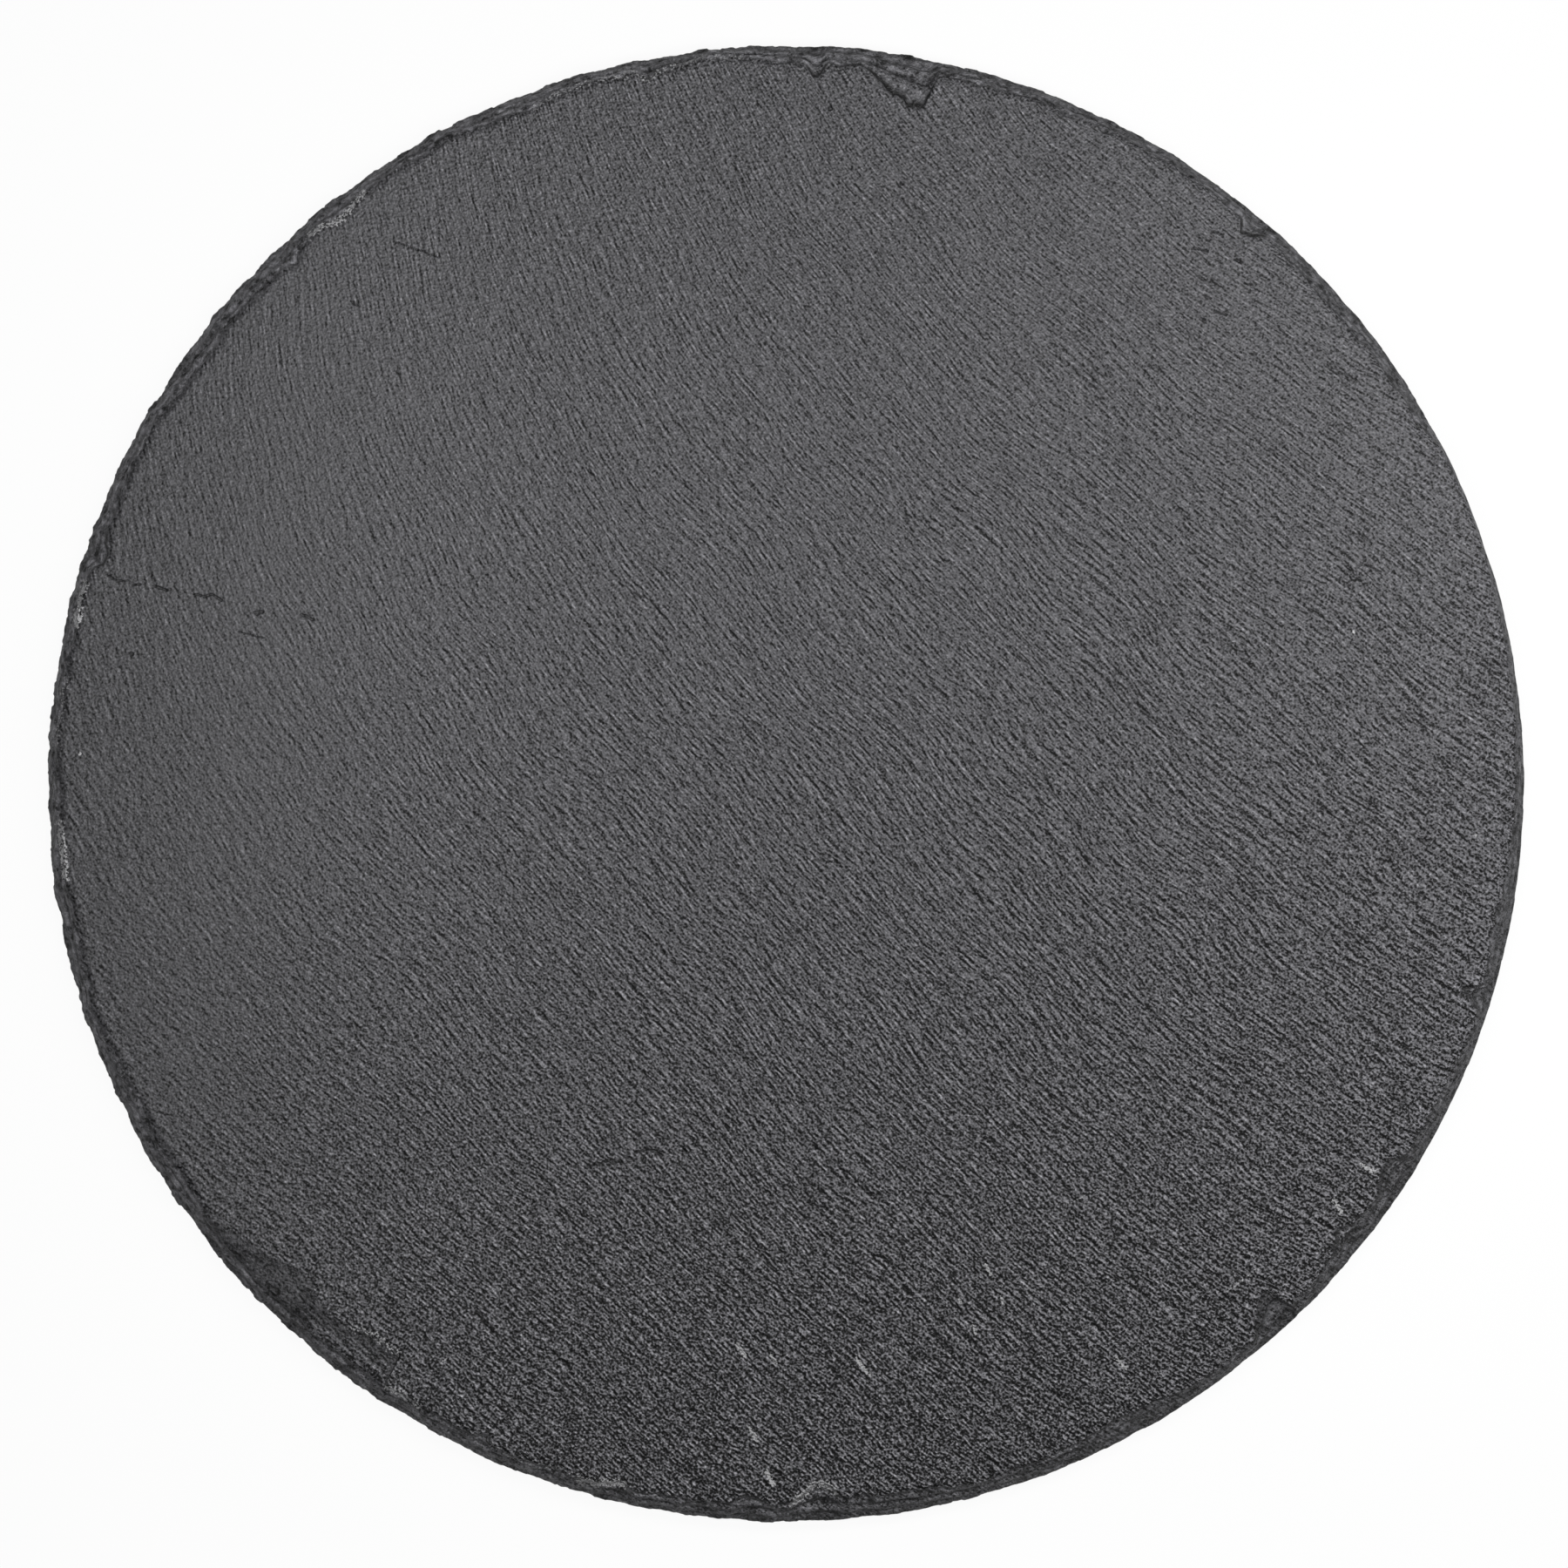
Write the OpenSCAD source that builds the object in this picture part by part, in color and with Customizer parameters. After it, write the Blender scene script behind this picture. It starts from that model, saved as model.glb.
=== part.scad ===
// Round slate serving board that rests face up on four stick-on rubber feet.
// The stone is one riven slab. Its top and its underside are flat cleavage faces. Its rim was
// knapped from above, so it falls from a crest line to the outline in thin laminar terraces.
// Origin: on the ground under the centre of the board. +Z is up and +Y is the far side.
// Angles run anticlockwise from +X, as seen from above.

/* [Slate] */
// Diameter of the slate over the mean line of its outline
slate_d = 300; // [200:1:400]
// Thickness of the slate between its two cleavage faces
slate_t = 5; // [4:0.1:8]

/* [Rim] */
// Usual distance from the outline in to the crest line
bevel_run = 2.3; // [1:0.1:5]
// How far past the bevel the largest chip reaches
chip_reach = 7.5; // [2:0.1:12]
// Height of the blunt lip at the foot of the bevel
lip_h = 0.6; // [0.2:0.1:1.5]
// How far the break on the lower edge runs in from the outline
lower_break = 0.35; // [0.1:0.05:1.5]
// Most that the outline wanders from a circle
outline_wander = 0.4; // [0:0.05:1]
// Most that the crest line and the terrace edges wander
terrace_wander = 0.3; // [0:0.05:0.6]

/* [Feet] */
// Diameter of a foot
foot_d = 12; // [6:0.5:25]
// Height of a foot
foot_h = 2.5; // [1.6:0.1:6]
// Radius of the rounded lower edge of a foot
foot_edge_r = 0.8; // [0.2:0.1:1.5]
// Distance from the outline of the slate in to the centre of a foot
foot_inset = 45; // [30:1:70]

/* [Adhesive] */
// Thickness of the adhesive disc between a foot and the slate
adhesive_t = 0.2; // [0.1:0.05:0.6]
// Width of the ring left bare round the adhesive disc
adhesive_margin = 0.5; // [0.2:0.1:1.5]

/* [Hidden] */

// Points round the rim, and segments round a foot
rim_points = 300;
foot_segments = 72;

// Angles at which the four feet stand
back_right = 45;
back_left = 135;
front_left = 225;
front_right = 315;

// Heights at which the pieces meet
adhesive_z = foot_h;
slate_z = adhesive_z + adhesive_t;
bevel_drop = slate_t - lip_h;
foot_circle_r = slate_d / 2 - foot_inset;

// Width of the bevel round the rim: [angle, width as a share of bevel_run]
bevel_shares = [
    [0, 0.77], [8, 0.62], [15, 0.46], [21, 0.25], [27, 0.3], [30, 1.08], [36, 1.08], [41, 1.4],
    [46, 1.15], [55, 0.92], [70, 1], [75, 1.2], [86, 1.7], [91, 1.5], [95, 0.85], [100, 1.3],
    [105, 1], [112, 1.45], [118, 1.08], [125, 1.08], [134, 1.5], [144, 1.85], [150, 1.15],
    [157, 1.4], [165, 1], [180, 1.08], [192, 1.4], [198, 1], [207, 1.55], [214, 1.85],
    [217, 1.45], [240, 1.55], [250, 1.3], [262, 1.4], [279, 2], [285, 1.3], [291, 1.55],
    [297, 1.85], [301, 1.8], [304, 1.08], [317, 1.15], [324, 1.7], [331, 1.4], [341, 0.92],
    [349, 1.5], [353, 1.08], [360, 0.77]
];

// Chips: [angle of the deepest point, spread clockwise, spread anticlockwise,
// reach as a share of chip_reach, share of that reach which the second terrace follows]
chip_shares = [
    [50, 1.6, 1.3, 0.3, 0.6],
    [64, 0.9, 0.9, 0.18, 0.3],
    [79.3, 1.5, 4.8, 1, 0.45],
    [87.6, 1, 0.9, 0.4, 0.5],
    [101, 1, 0.9, 0.26, 0.5],
    [128.2, 2.2, 1.6, 0.22, 0.5],
    [133.4, 1.2, 1.6, 0.2, 0.5],
    [161.9, 2.6, 1, 0.33, 0.5],
    [229.6, 9.5, 7, 0.78, 0.1],
    [245.3, 1, 0.9, 0.2, 0.7],
    [256.6, 1.8, 1.4, 0.17, 0.5],
    [267.6, 2, 1.5, 0.18, 0.6],
    [272.8, 2.6, 1.7, 0.5, 0.55],
    [313.2, 3.4, 0.7, 0.62, 0.7],
    [321.5, 2.2, 1, 0.31, 0.6],
    [327.4, 2.4, 1.8, 0.36, 0.6],
    [343.2, 1.3, 0.7, 0.57, 0.6]
];
// How flat a chip's inner end is: over 1 cuts the tip of its triangle off
chip_blunt_share = 1.3;

// Edges of the terraces, from the crest line down to the lip: [distance in from the outline as
// a share of the bevel's width, depth as a share of the bevel's drop, share of a chip's reach,
// share of the second terrace's part of that reach]
terrace_shares = [
    [1, 0, 1, 0],
    [0.94, 0.15, 0.98, 0],
    [0.72, 0.23, 0, 1],
    [0.64, 0.42, 0, 0.96],
    [0.4, 0.52, 0, 0.45],
    [0.3, 0.74, 0, 0.4],
    [0.06, 0.88, 0, 0],
    [0, 1, 0, 0]
];

// The outline is rough on the left and almost smooth on the right
function roughness_share(a) = 0.55 + 0.45 * cos(a - 170);

// Sums of waves that close on themselves after a whole turn
function outline_wave_share(a) = 0.45 * sin(31 * a + 40) + 0.3 * sin(67 * a + 110)
    + 0.25 * sin(113 * a + 20);
function terrace_wave_share(a, k) = 0.4 * sin((19 + 4 * k) * a + 70 * k)
    + 0.35 * sin((47 + 6 * k) * a + 130 * k) + 0.25 * sin((83 + 2 * k) * a + 200 * k);

function outline_r(a) = slate_d / 2 + outline_wander * roughness_share(a) * outline_wave_share(a);

// How much of a chip is present at angle a, from 0 outside it to 1 at its inner end
function chip_fade(a, chip) = let (
        off = a - chip[0],
        spread = off < 0 ? chip[1] : chip[2]
    ) max(0, min(1, chip_blunt_share * (1 - abs(off) / spread)));

function sum_of(list, i = 0) = i == len(list) ? 0 : list[i] + sum_of(list, i + 1);
function chip_in(a) = chip_reach * sum_of([for (c = chip_shares) c[3] * chip_fade(a, c)]);
function chip_step_in(a) = chip_reach * sum_of([for (c = chip_shares) c[3] * c[4] * chip_fade(a, c)]);

// Radius of terrace edge k at angle a. The wander dies out where the bevel is narrow.
function terrace_r(a, k) = let (
        t = terrace_shares[k],
        width_share = lookup(a, bevel_shares),
        width = bevel_run * width_share,
        wander = terrace_wander * min(1, width_share) * t[0] * terrace_wave_share(a, k)
    ) outline_r(a) - width * t[0] - t[2] * chip_in(a) - t[3] * chip_step_in(a) + wander;

// Closed shell of stacked rings, from the crest line down to the underside
module slate() {
    terraces = len(terrace_shares);
    angles = [for (i = [0 : rim_points - 1]) 360 * i / rim_points];
    terrace_points = [
        for (k = [0 : terraces - 1], a = angles)
            let (r = terrace_r(a, k))
            [r * cos(a), r * sin(a), slate_t - bevel_drop * terrace_shares[k][1]]
    ];
    underside_points = [
        for (a = angles)
            let (r = outline_r(a) - lower_break)
            [r * cos(a), r * sin(a), 0]
    ];
    top_face = [for (i = [rim_points - 1 : -1 : 0]) i];
    underside = [for (i = [0 : rim_points - 1]) terraces * rim_points + i];
    sides = [
        for (k = [0 : terraces - 1], i = [0 : rim_points - 1])
            let (
                j = (i + 1) % rim_points,
                upper = k * rim_points,
                lower = upper + rim_points
            )
            each [[upper + i, upper + j, lower + j], [upper + i, lower + j, lower + i]]
    ];
    color("#4d4e51")
        translate([0, 0, slate_z])
            polyhedron(
                points = concat(terrace_points, underside_points),
                faces = concat([top_face, underside], sides),
                convexity = 6
            );
}

// Puts its children at the place of the foot that stands at angle a
module at_foot(a) {
    translate([foot_circle_r * cos(a), foot_circle_r * sin(a), 0]) children();
}

// Round moulded foot, flat where it rests and rounded round its lower edge
module foot(a) {
    foot_r = foot_d / 2;
    color("#1b1b1c")
        at_foot(a)
            rotate_extrude($fn = foot_segments) {
                square([foot_r - foot_edge_r, foot_h]);
                translate([0, foot_edge_r]) square([foot_r, foot_h - foot_edge_r]);
                translate([foot_r - foot_edge_r, foot_edge_r]) circle(foot_edge_r);
            }
}

// Disc of adhesive that sticks a foot to the underside of the slate
module adhesive(a) {
    color("#c9c6bb")
        at_foot(a)
            translate([0, 0, adhesive_z])
                cylinder(d = foot_d - 2 * adhesive_margin, h = adhesive_t, $fn = foot_segments);
}

slate();
foot(back_right);  // foot_back_right
foot(back_left);  // foot_back_left
foot(front_left);  // foot_front_left
foot(front_right);  // foot_front_right
adhesive(back_right);  // adhesive_back_right
adhesive(back_left);  // adhesive_back_left
adhesive(front_left);  // adhesive_front_left
adhesive(front_right);  // adhesive_front_right
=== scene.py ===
"""Dresses a round slate serving board: riven stone with a knapped rim, on four stick-on rubber feet.

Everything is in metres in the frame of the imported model: +Z up, +Y the far side of the board, the
origin on the ground under its centre. Angles run anticlockwise from +X, as seen from above.
"""

import logging
import math
from dataclasses import astuple, dataclass, field
from enum import Enum
from typing import Any, Callable, Iterator, Sequence

import bmesh
import bpy
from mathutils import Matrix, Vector, kdtree, noise


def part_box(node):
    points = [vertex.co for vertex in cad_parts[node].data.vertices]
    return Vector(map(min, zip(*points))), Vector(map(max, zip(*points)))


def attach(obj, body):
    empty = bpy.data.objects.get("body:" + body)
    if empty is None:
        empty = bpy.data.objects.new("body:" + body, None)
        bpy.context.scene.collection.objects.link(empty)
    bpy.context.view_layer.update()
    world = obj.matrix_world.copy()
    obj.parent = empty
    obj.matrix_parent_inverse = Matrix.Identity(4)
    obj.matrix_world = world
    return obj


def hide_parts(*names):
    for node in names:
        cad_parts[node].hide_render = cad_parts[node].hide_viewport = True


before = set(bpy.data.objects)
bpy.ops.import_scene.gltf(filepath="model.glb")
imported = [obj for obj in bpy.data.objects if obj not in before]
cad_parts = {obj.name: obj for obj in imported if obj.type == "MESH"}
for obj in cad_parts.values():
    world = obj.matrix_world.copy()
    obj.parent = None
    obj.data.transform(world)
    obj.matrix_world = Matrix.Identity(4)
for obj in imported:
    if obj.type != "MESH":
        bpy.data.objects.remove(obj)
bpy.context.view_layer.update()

LOG = logging.getLogger("slate_board")
MM = 0.001
# The one body of the model, which every piece rides on
BODY = "root"
# Side of the square picture in pixels, and its width in metres at the height of the outline
PHOTO_PX = 1800
PHOTO_WIDTH = 0.31865


class SurfaceMark(Enum):
    """Names of the mesh attributes that tell the stone's finish what happened at a place."""

    KNAPPED = "knapped"
    BRUISED = "bruised"
    # Painted shade on the rim; below 0 it is painted light
    SHADED = "shaded"
    CRACKED = "cracked"


def smooth_share(value: float, low: float, high: float) -> float:
    """Rises smoothly from 0 where the value is low to 1 where it is high."""
    t = min(1.0, max(0.0, (value - low) / (high - low)))
    return t * t * (3 - 2 * t)


def wave(angle: float, terms: Sequence[tuple[float, int, float]]) -> float:
    """Sums sine waves at an angle, each with its share, its count in a turn and its phase in degrees."""
    return sum(share * math.sin(math.radians(count * angle + phase)) for share, count, phase in terms)


def along(table: Sequence[tuple[float, float]], key: float) -> float:
    """Reads a table of (key, value) rows with straight lines between them.

    Args:
        table: Rows in rising order of their keys.
        key: Where to read.

    Returns:
        The value at the key.
    """
    for (k0, v0), (k1, v1) in zip(table, table[1:]):
        if key <= k1:
            return v0 + (v1 - v0) * (key - k0) / (k1 - k0)
    return table[-1][1]


def polar(angle: float, radius: float, height: float) -> Vector:
    """Gives the point at an angle in degrees, a radius and a height."""
    turn = math.radians(angle)
    return Vector((radius * math.cos(turn), radius * math.sin(turn), height))


def angle_of(point: Vector) -> float:
    """Gives a point's angle about the centre, from 0 to 360 degrees."""
    return math.degrees(math.atan2(point.y, point.x)) % 360


def seen_from_above(places: Sequence[Vector]) -> kdtree.KDTree:
    """Sorts places by X and Y alone, to search them by distance.

    Args:
        places: The places, whose numbers a search gives back.

    Returns:
        The tree to search.
    """
    tree = kdtree.KDTree(len(places))
    for i, place in enumerate(places):
        tree.insert((place.x, place.y, 0.0), i)
    tree.balance()
    return tree


@dataclass(frozen=True)
class Chip:
    """One chip off the rim.

    Attributes:
        angle: Angle of its deepest point, in degrees.
        clockwise: How far it spreads clockwise from there, in degrees.
        anticlockwise: How far it spreads the other way, in degrees.
        reach_share: How far in it reaches, as a share of the largest chip's reach.
        step_share: Share of that reach which the second terrace follows.
        wall_share: Run of the chip's wall, as a share of its reach.
    """

    angle: float
    clockwise: float
    anticlockwise: float
    reach_share: float
    step_share: float
    wall_share: float

    def fade(self, angle: float, blunt: float) -> float:
        """Tells how much of the chip, whose inner end is blunt, is present at an angle, from 0 to 1."""
        spread = self.clockwise if angle < self.angle else self.anticlockwise
        return max(0.0, min(1.0, blunt * (1 - abs(angle - self.angle) / spread)))


@dataclass(frozen=True)
class Terrace:
    """One terrace edge on the knapped rim.

    Attributes:
        run_share: Distance in from the outline, as a share of the bevel's width.
        depth_share: Depth under the top face, as a share of the bevel's drop.
        chip_share: Share of a chip's reach that moves this edge in.
        step_share: Share of the second terrace's part of that reach.
    """

    run_share: float
    depth_share: float
    chip_share: float
    step_share: float

    def towards(self, other: "Terrace", share: float) -> "Terrace":
        """Gives the edge that lies a share of the way from this one to another."""
        pairs = zip(astuple(self), astuple(other))
        return Terrace(*(mine + (theirs - mine) * share for mine, theirs in pairs))


@dataclass(frozen=True)
class FaceMark:
    """A crack, pit, scratch or bruise on the top face.

    Attributes:
        points: Points along it in mm, or its one place.
        kind: CRACKED for a gap in the stone, darkened with painted shade, BRUISED for a pale scar on it.
        width: Its width in mm.
        weight: How strongly it shows, from 0 to 1.
    """

    points: tuple[tuple[float, float], ...]
    kind: SurfaceMark
    width: float
    weight: float = 1.0

    # Longest steps along a mark in mm, to measure from it and to find what lies round it
    FINE_STEP, COARSE_STEP = 0.15, 0.6

    def spots(self, pitch: float) -> Iterator[tuple[float, float]]:
        """Walks along the mark.

        Args:
            pitch: Longest step in mm.

        Returns:
            The places in mm, one by one.
        """
        yield self.points[0]
        for (x0, y0), (x1, y1) in zip(self.points, self.points[1:]):
            count = math.ceil(math.hypot(x1 - x0, y1 - y0) / pitch)
            for i in range(1, count + 1):
                yield x0 + (x1 - x0) * i / count, y0 + (y1 - y0) * i / count

    def strength_at(self, x: float, y: float) -> float:
        """Tells how strongly the mark shows at a place.

        Args:
            x: Place along X in mm.
            y: Place along Y in mm.

        Returns:
            A strength from 0 to the mark's weight.
        """
        off = min(math.hypot(x - a, y - b) for a, b in self.spots(self.FINE_STEP))
        full, gone = 0.2 * self.width, 0.9 * self.width
        return self.weight * (1 - smooth_share(off, full, gone))

    def surroundings(self, tree: kdtree.KDTree, reach: float) -> set[int]:
        """Lists the numbers of the places in a tree that lie within a reach of the mark."""
        spots = ((x * MM, y * MM, 0.0) for x, y in self.spots(self.COARSE_STEP))
        return {i for spot in spots for _, i, _ in tree.find_range(spot, reach)}


# Width of the bevel round the rim: (angle, width as a share of the usual run)
BEVEL_SHARES = (
    (0, 0.77), (8, 0.62), (15, 0.46), (21, 0.25), (27, 0.3), (30, 1.08), (36, 1.08), (41, 1.4),
    (46, 1.15), (55, 0.92), (70, 1), (75, 1.2), (86, 1.7), (91, 1.5), (95, 0.85), (100, 1.3),
    (105, 1), (112, 1.45), (118, 1.08), (125, 1.08), (134, 1.5), (144, 1.85), (150, 1.15),
    (157, 1.4), (165, 1), (180, 1.08), (192, 1.4), (198, 1), (207, 1.55), (214, 1.85),
    (217, 1.45), (240, 1.55), (250, 1.3), (262, 1.4), (279, 2), (285, 1.3), (291, 1.55),
    (297, 1.85), (301, 1.8), (304, 1.08), (317, 1.15), (324, 1.7), (331, 1.4), (341, 0.92),
    (349, 1.5), (353, 1.08), (360, 0.77),
)

CHIPS = tuple(Chip(*row) for row in (
    (50, 1.6, 1.3, 0.3, 0.6, 0.2), (64, 0.9, 0.9, 0.18, 0.3, 0.2), (78.7, 0.9, 5.3, 1, 0.45, 0.12),
    (87.6, 1, 0.9, 0.4, 0.5, 0.15), (101, 1, 0.9, 0.26, 0.5, 0.2), (128.2, 2.2, 1.6, 0.22, 0.5, 0.2),
    (133.4, 1.2, 1.6, 0.2, 0.5, 0.2), (161.9, 2.6, 1, 0.33, 0.5, 0.2), (225.4, 8.6, 3.6, 0.8, 0.1, 0.75),
    (235.9, 11.5, 0.5, 0.97, 0.1, 0.3), (245.3, 1, 0.9, 0.2, 0.7, 0.3), (256.6, 1.8, 1.4, 0.17, 0.5, 0.3),
    (267.6, 2, 1.5, 0.18, 0.6, 0.3), (272.8, 2.6, 1.7, 0.5, 0.55, 0.35), (313.4, 3.3, 0.7, 0.76, 0.7, 0.9),
    (321.5, 2.2, 1, 0.31, 0.6, 0.4), (327.4, 2.4, 1.8, 0.36, 0.6, 0.4), (343.2, 1.3, 0.7, 0.57, 0.6, 0.4),
))

# Edges of the terraces, from the crest line down to the lip, two for each riser
TERRACES = (
    Terrace(1, 0, 1, 0),
    Terrace(0.94, 0.15, 0.98, 0),
    Terrace(0.72, 0.23, 0, 1),
    Terrace(0.64, 0.42, 0, 0.96),
    Terrace(0.4, 0.52, 0, 0.45),
    Terrace(0.3, 0.74, 0, 0.4),
    Terrace(0.06, 0.88, 0, 0),
    Terrace(0, 1, 0, 0),
)

LAST_RISER = len(TERRACES) // 2 - 1

# How light each ring is painted, from the crest line down: a riser's upper edge, its middle, its foot
# and the middle of its tread, with painted shade on the risers and the lip and painted light on the treads
RING_TONES = (1.0, 0.42, 0.62, 1.15) * 2 + (1.0, 0.42, 0.62, 0.75) + (0.42,) * 3
# Places among the terraces where the walls of the chips end, their floors, and the broad scoops
WALL_END, FLOOR_END, SCOOP_END = 1.2, 2.1, 2.6
# Painted shade on the walls of the chips, and how much more at the back; the tone that a scoop is
# painted, as painted shade in its hollow, and how much lighter it is at the right
WALL_SHADE, WALL_SHADE_BACK = 0.24, 0.21
SCOOP_TONE, SCOOP_TONE_RIGHT = 0.54, 0.1

# Stretches of the crest line with pale crumbs: (from angle, to angle, how many crumbs)
BRUISES = (
    (93, 111, 0.8), (125, 131.5, 1), (151, 153, 0.7), (163.5, 168, 1), (171, 177.5, 0.7),
    (182.5, 188, 1), (191, 193, 0.5), (199.5, 204.5, 0.6), (215, 217, 0.5), (231, 240, 0.9),
    (245.5, 252, 0.7), (253, 257.5, 1.15), (270, 274.5, 1.2), (291, 294, 0.6), (326, 328, 0.5),
    (340, 344, 0.4),
)

# Cracks: (width in mm, points along it in mm)
CRACKS = (
    (0.45, ((-137.8, 42.4), (-136.3, 41.4), (-133.8, 41.0))),
    (0.45, ((-132.4, 40.3), (-130.9, 40.5))),
    (0.6, ((-127.9, 40.0), (-125.6, 39.2))),
    (0.55, ((-120.0, 38.5), (-118.0, 38.0), (-116.4, 38.4), (-114.5, 37.1))),
    (0.65, ((-107.7, 34.8), (-106.1, 34.8))),
    (0.65, ((-98.3, 34.3), (-97.0, 33.9), (-95.9, 33.2))),
    (0.3, ((-111.1, 30.9), (-105.8, 29.5))),
    (0.65, ((-40.6, -77.9), (-37.6, -77.2), (-35.6, -76.1), (-34.7, -77.0), (-33.5, -76.6))),
    (0.65, ((-33.0, -75.6), (-30.8, -76.3))),
    (0.7, ((-30.5, -74.9), (-28.0, -74.1), (-26.6, -74.7), (-25.2, -75.4))),
    (0.45, ((86.3, 112.1), (88.8, 111.5))),
    (0.45, ((82.7, 108.7), (85.6, 108.0))),
    (0.45, ((91.2, 106.2), (92.8, 105.7))),
    (0.45, ((93.0, 101.6), (94.8, 101.1))),
    (0.5, ((87.0, 95.9), (89.5, 95.1))),
    (0.45, ((85.2, 99.0), (86.3, 98.4))),
    (0.45, ((99.8, 92.9), (101.3, 91.2))),
    (0.3, ((-79.2, 109.9), (-70.3, 106.8))),
    (0.45, ((-88.2, 97.7), (-86.8, 97.0))),
    (0.35, ((5.5, -15.5), (11.0, -16.0))),
    (0.45, ((-30.8, 38.7), (-28.7, 37.8))),
    (0.4, ((116.6, 44.9), (120.7, 43.0))),
    (0.5, ((128.1, -11.4), (130.8, -11.6))),
)
# Pits: places in mm
PITS = (
    (84.9, 94.0), (23.6, 121.8), (9.0, 137.0), (-107.2, 34.6), (-132.7, 26.3),
    (-20.7, -74.5), (-22.0, -82.3), (-24.6, -79.1),
)
# Scratches: points along them in mm
SCRATCHES = (
    ((56.9, -85.5), (65.0, -81.4)),
    ((89.5, -103.0), (96.2, -98.1)),
    ((66.4, -123.8), (70.5, -121.1)),
    ((-147.1, -10.7), (-146.5, -18.7)),
    ((-70.0, -117.4), (-68.6, -116.6)),
    ((139.4, -10.1), (139.8, -10.8), (140.2, -10.2)),
)
# Pale specks: places in mm
SPECKS = (
    (115.3, 30.7), (80.6, -79.5), (-79.2, -123.6), (-142.8, 33.9), (-143.2, 6.1),
    (-88.8, 119.2), (-97.8, 111.9),
)
# Scuffs: (width in mm, points along it in mm)
SCUFFS = (
    (1.0, ((67.0, -116.6), (68.9, -118.6))),
    (1.0, ((14.7, -117.0), (16.9, -119.8))),
    (0.9, ((-9.9, -113.7), (-8.2, -116.2))),
    (0.8, ((-3.1, -115.9), (-1.9, -117.6))),
    (1.0, ((-7.3, -130.7), (-5.9, -133.2))),
    (1.1, ((-3.8, -139.6), (-2.5, -142.2))),
    (1.0, ((116.9, -77.3), (119.4, -78.9))),
    (1.2, ((111.2, -84.6), (112.6, -86.8))),
    (0.8, ((40.6, -97.7), (41.6, -99.6))),
    (0.7, ((35.1, -104.2), (35.7, -105.6))),
    (0.8, ((37.8, -109.9), (38.6, -111.6))),
    (0.7, ((43.7, -104.2), (44.2, -105.6))),
)
# Share of a crack's width, which is blurred in the photo, that the gap itself takes
CRACK_SHARE = 0.82
PIT_WIDTH, SCRATCH_WIDTH, SPECK_WIDTH = 0.9, 0.42, 0.75
SCRATCH_WEIGHT, SCUFF_WEIGHT = 0.8, 0.95
FACE_MARKS = (
    *(FaceMark(points, SurfaceMark.CRACKED, CRACK_SHARE * width) for width, points in CRACKS),
    *(FaceMark((point,), SurfaceMark.CRACKED, PIT_WIDTH) for point in PITS),
    *(FaceMark(points, SurfaceMark.BRUISED, SCRATCH_WIDTH, SCRATCH_WEIGHT) for points in SCRATCHES),
    *(FaceMark((point,), SurfaceMark.BRUISED, SPECK_WIDTH) for point in SPECKS),
    *(FaceMark(points, SurfaceMark.BRUISED, width, SCUFF_WEIGHT) for width, points in SCUFFS),
)


class Wire:
    """One output socket of a shader node, which Python's operators combine."""

    def __init__(self, shader: "Shader", socket: bpy.types.NodeSocket) -> None:
        """Wraps an output socket of one of the shader's nodes."""
        self.shader = shader
        self.socket = socket

    def __add__(self, other: Any) -> "Wire":
        """Adds."""
        return self.shader.maths("ADD", self, other)

    __radd__ = __add__

    def __sub__(self, other: Any) -> "Wire":
        """Subtracts the other value."""
        return self.shader.maths("SUBTRACT", self, other)

    def __rsub__(self, other: Any) -> "Wire":
        """Subtracts this value from the other."""
        return self.shader.maths("SUBTRACT", other, self)

    def __mul__(self, other: Any) -> "Wire":
        """Multiplies."""
        return self.shader.maths("MULTIPLY", self, other)

    __rmul__ = __mul__

    def __truediv__(self, other: Any) -> "Wire":
        """Divides by the other value."""
        return self.shader.maths("DIVIDE", self, other)

    def __rtruediv__(self, other: Any) -> "Wire":
        """Divides the other value by this one."""
        return self.shader.maths("DIVIDE", other, self)

    def fraction(self) -> "Wire":
        """Keeps the part after the point."""
        return self.shader.maths("FRACT", self)

    def above(self, low: float, high: float) -> "Wire":
        """Rises smoothly from 0 where this is low to 1 where it is high."""
        inputs = {"Value": self, "From Min": low, "From Max": high}
        return self.shader.node("ShaderNodeMapRange", {"interpolation_type": "SMOOTHSTEP"}, inputs)

    def size(self) -> "Wire":
        """Drops the sign."""
        return self.shader.maths("ABSOLUTE", self)

    def most(self, other: Any) -> "Wire":
        """Takes the larger of two values."""
        return self.shader.maths("MAXIMUM", self, other)


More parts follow.
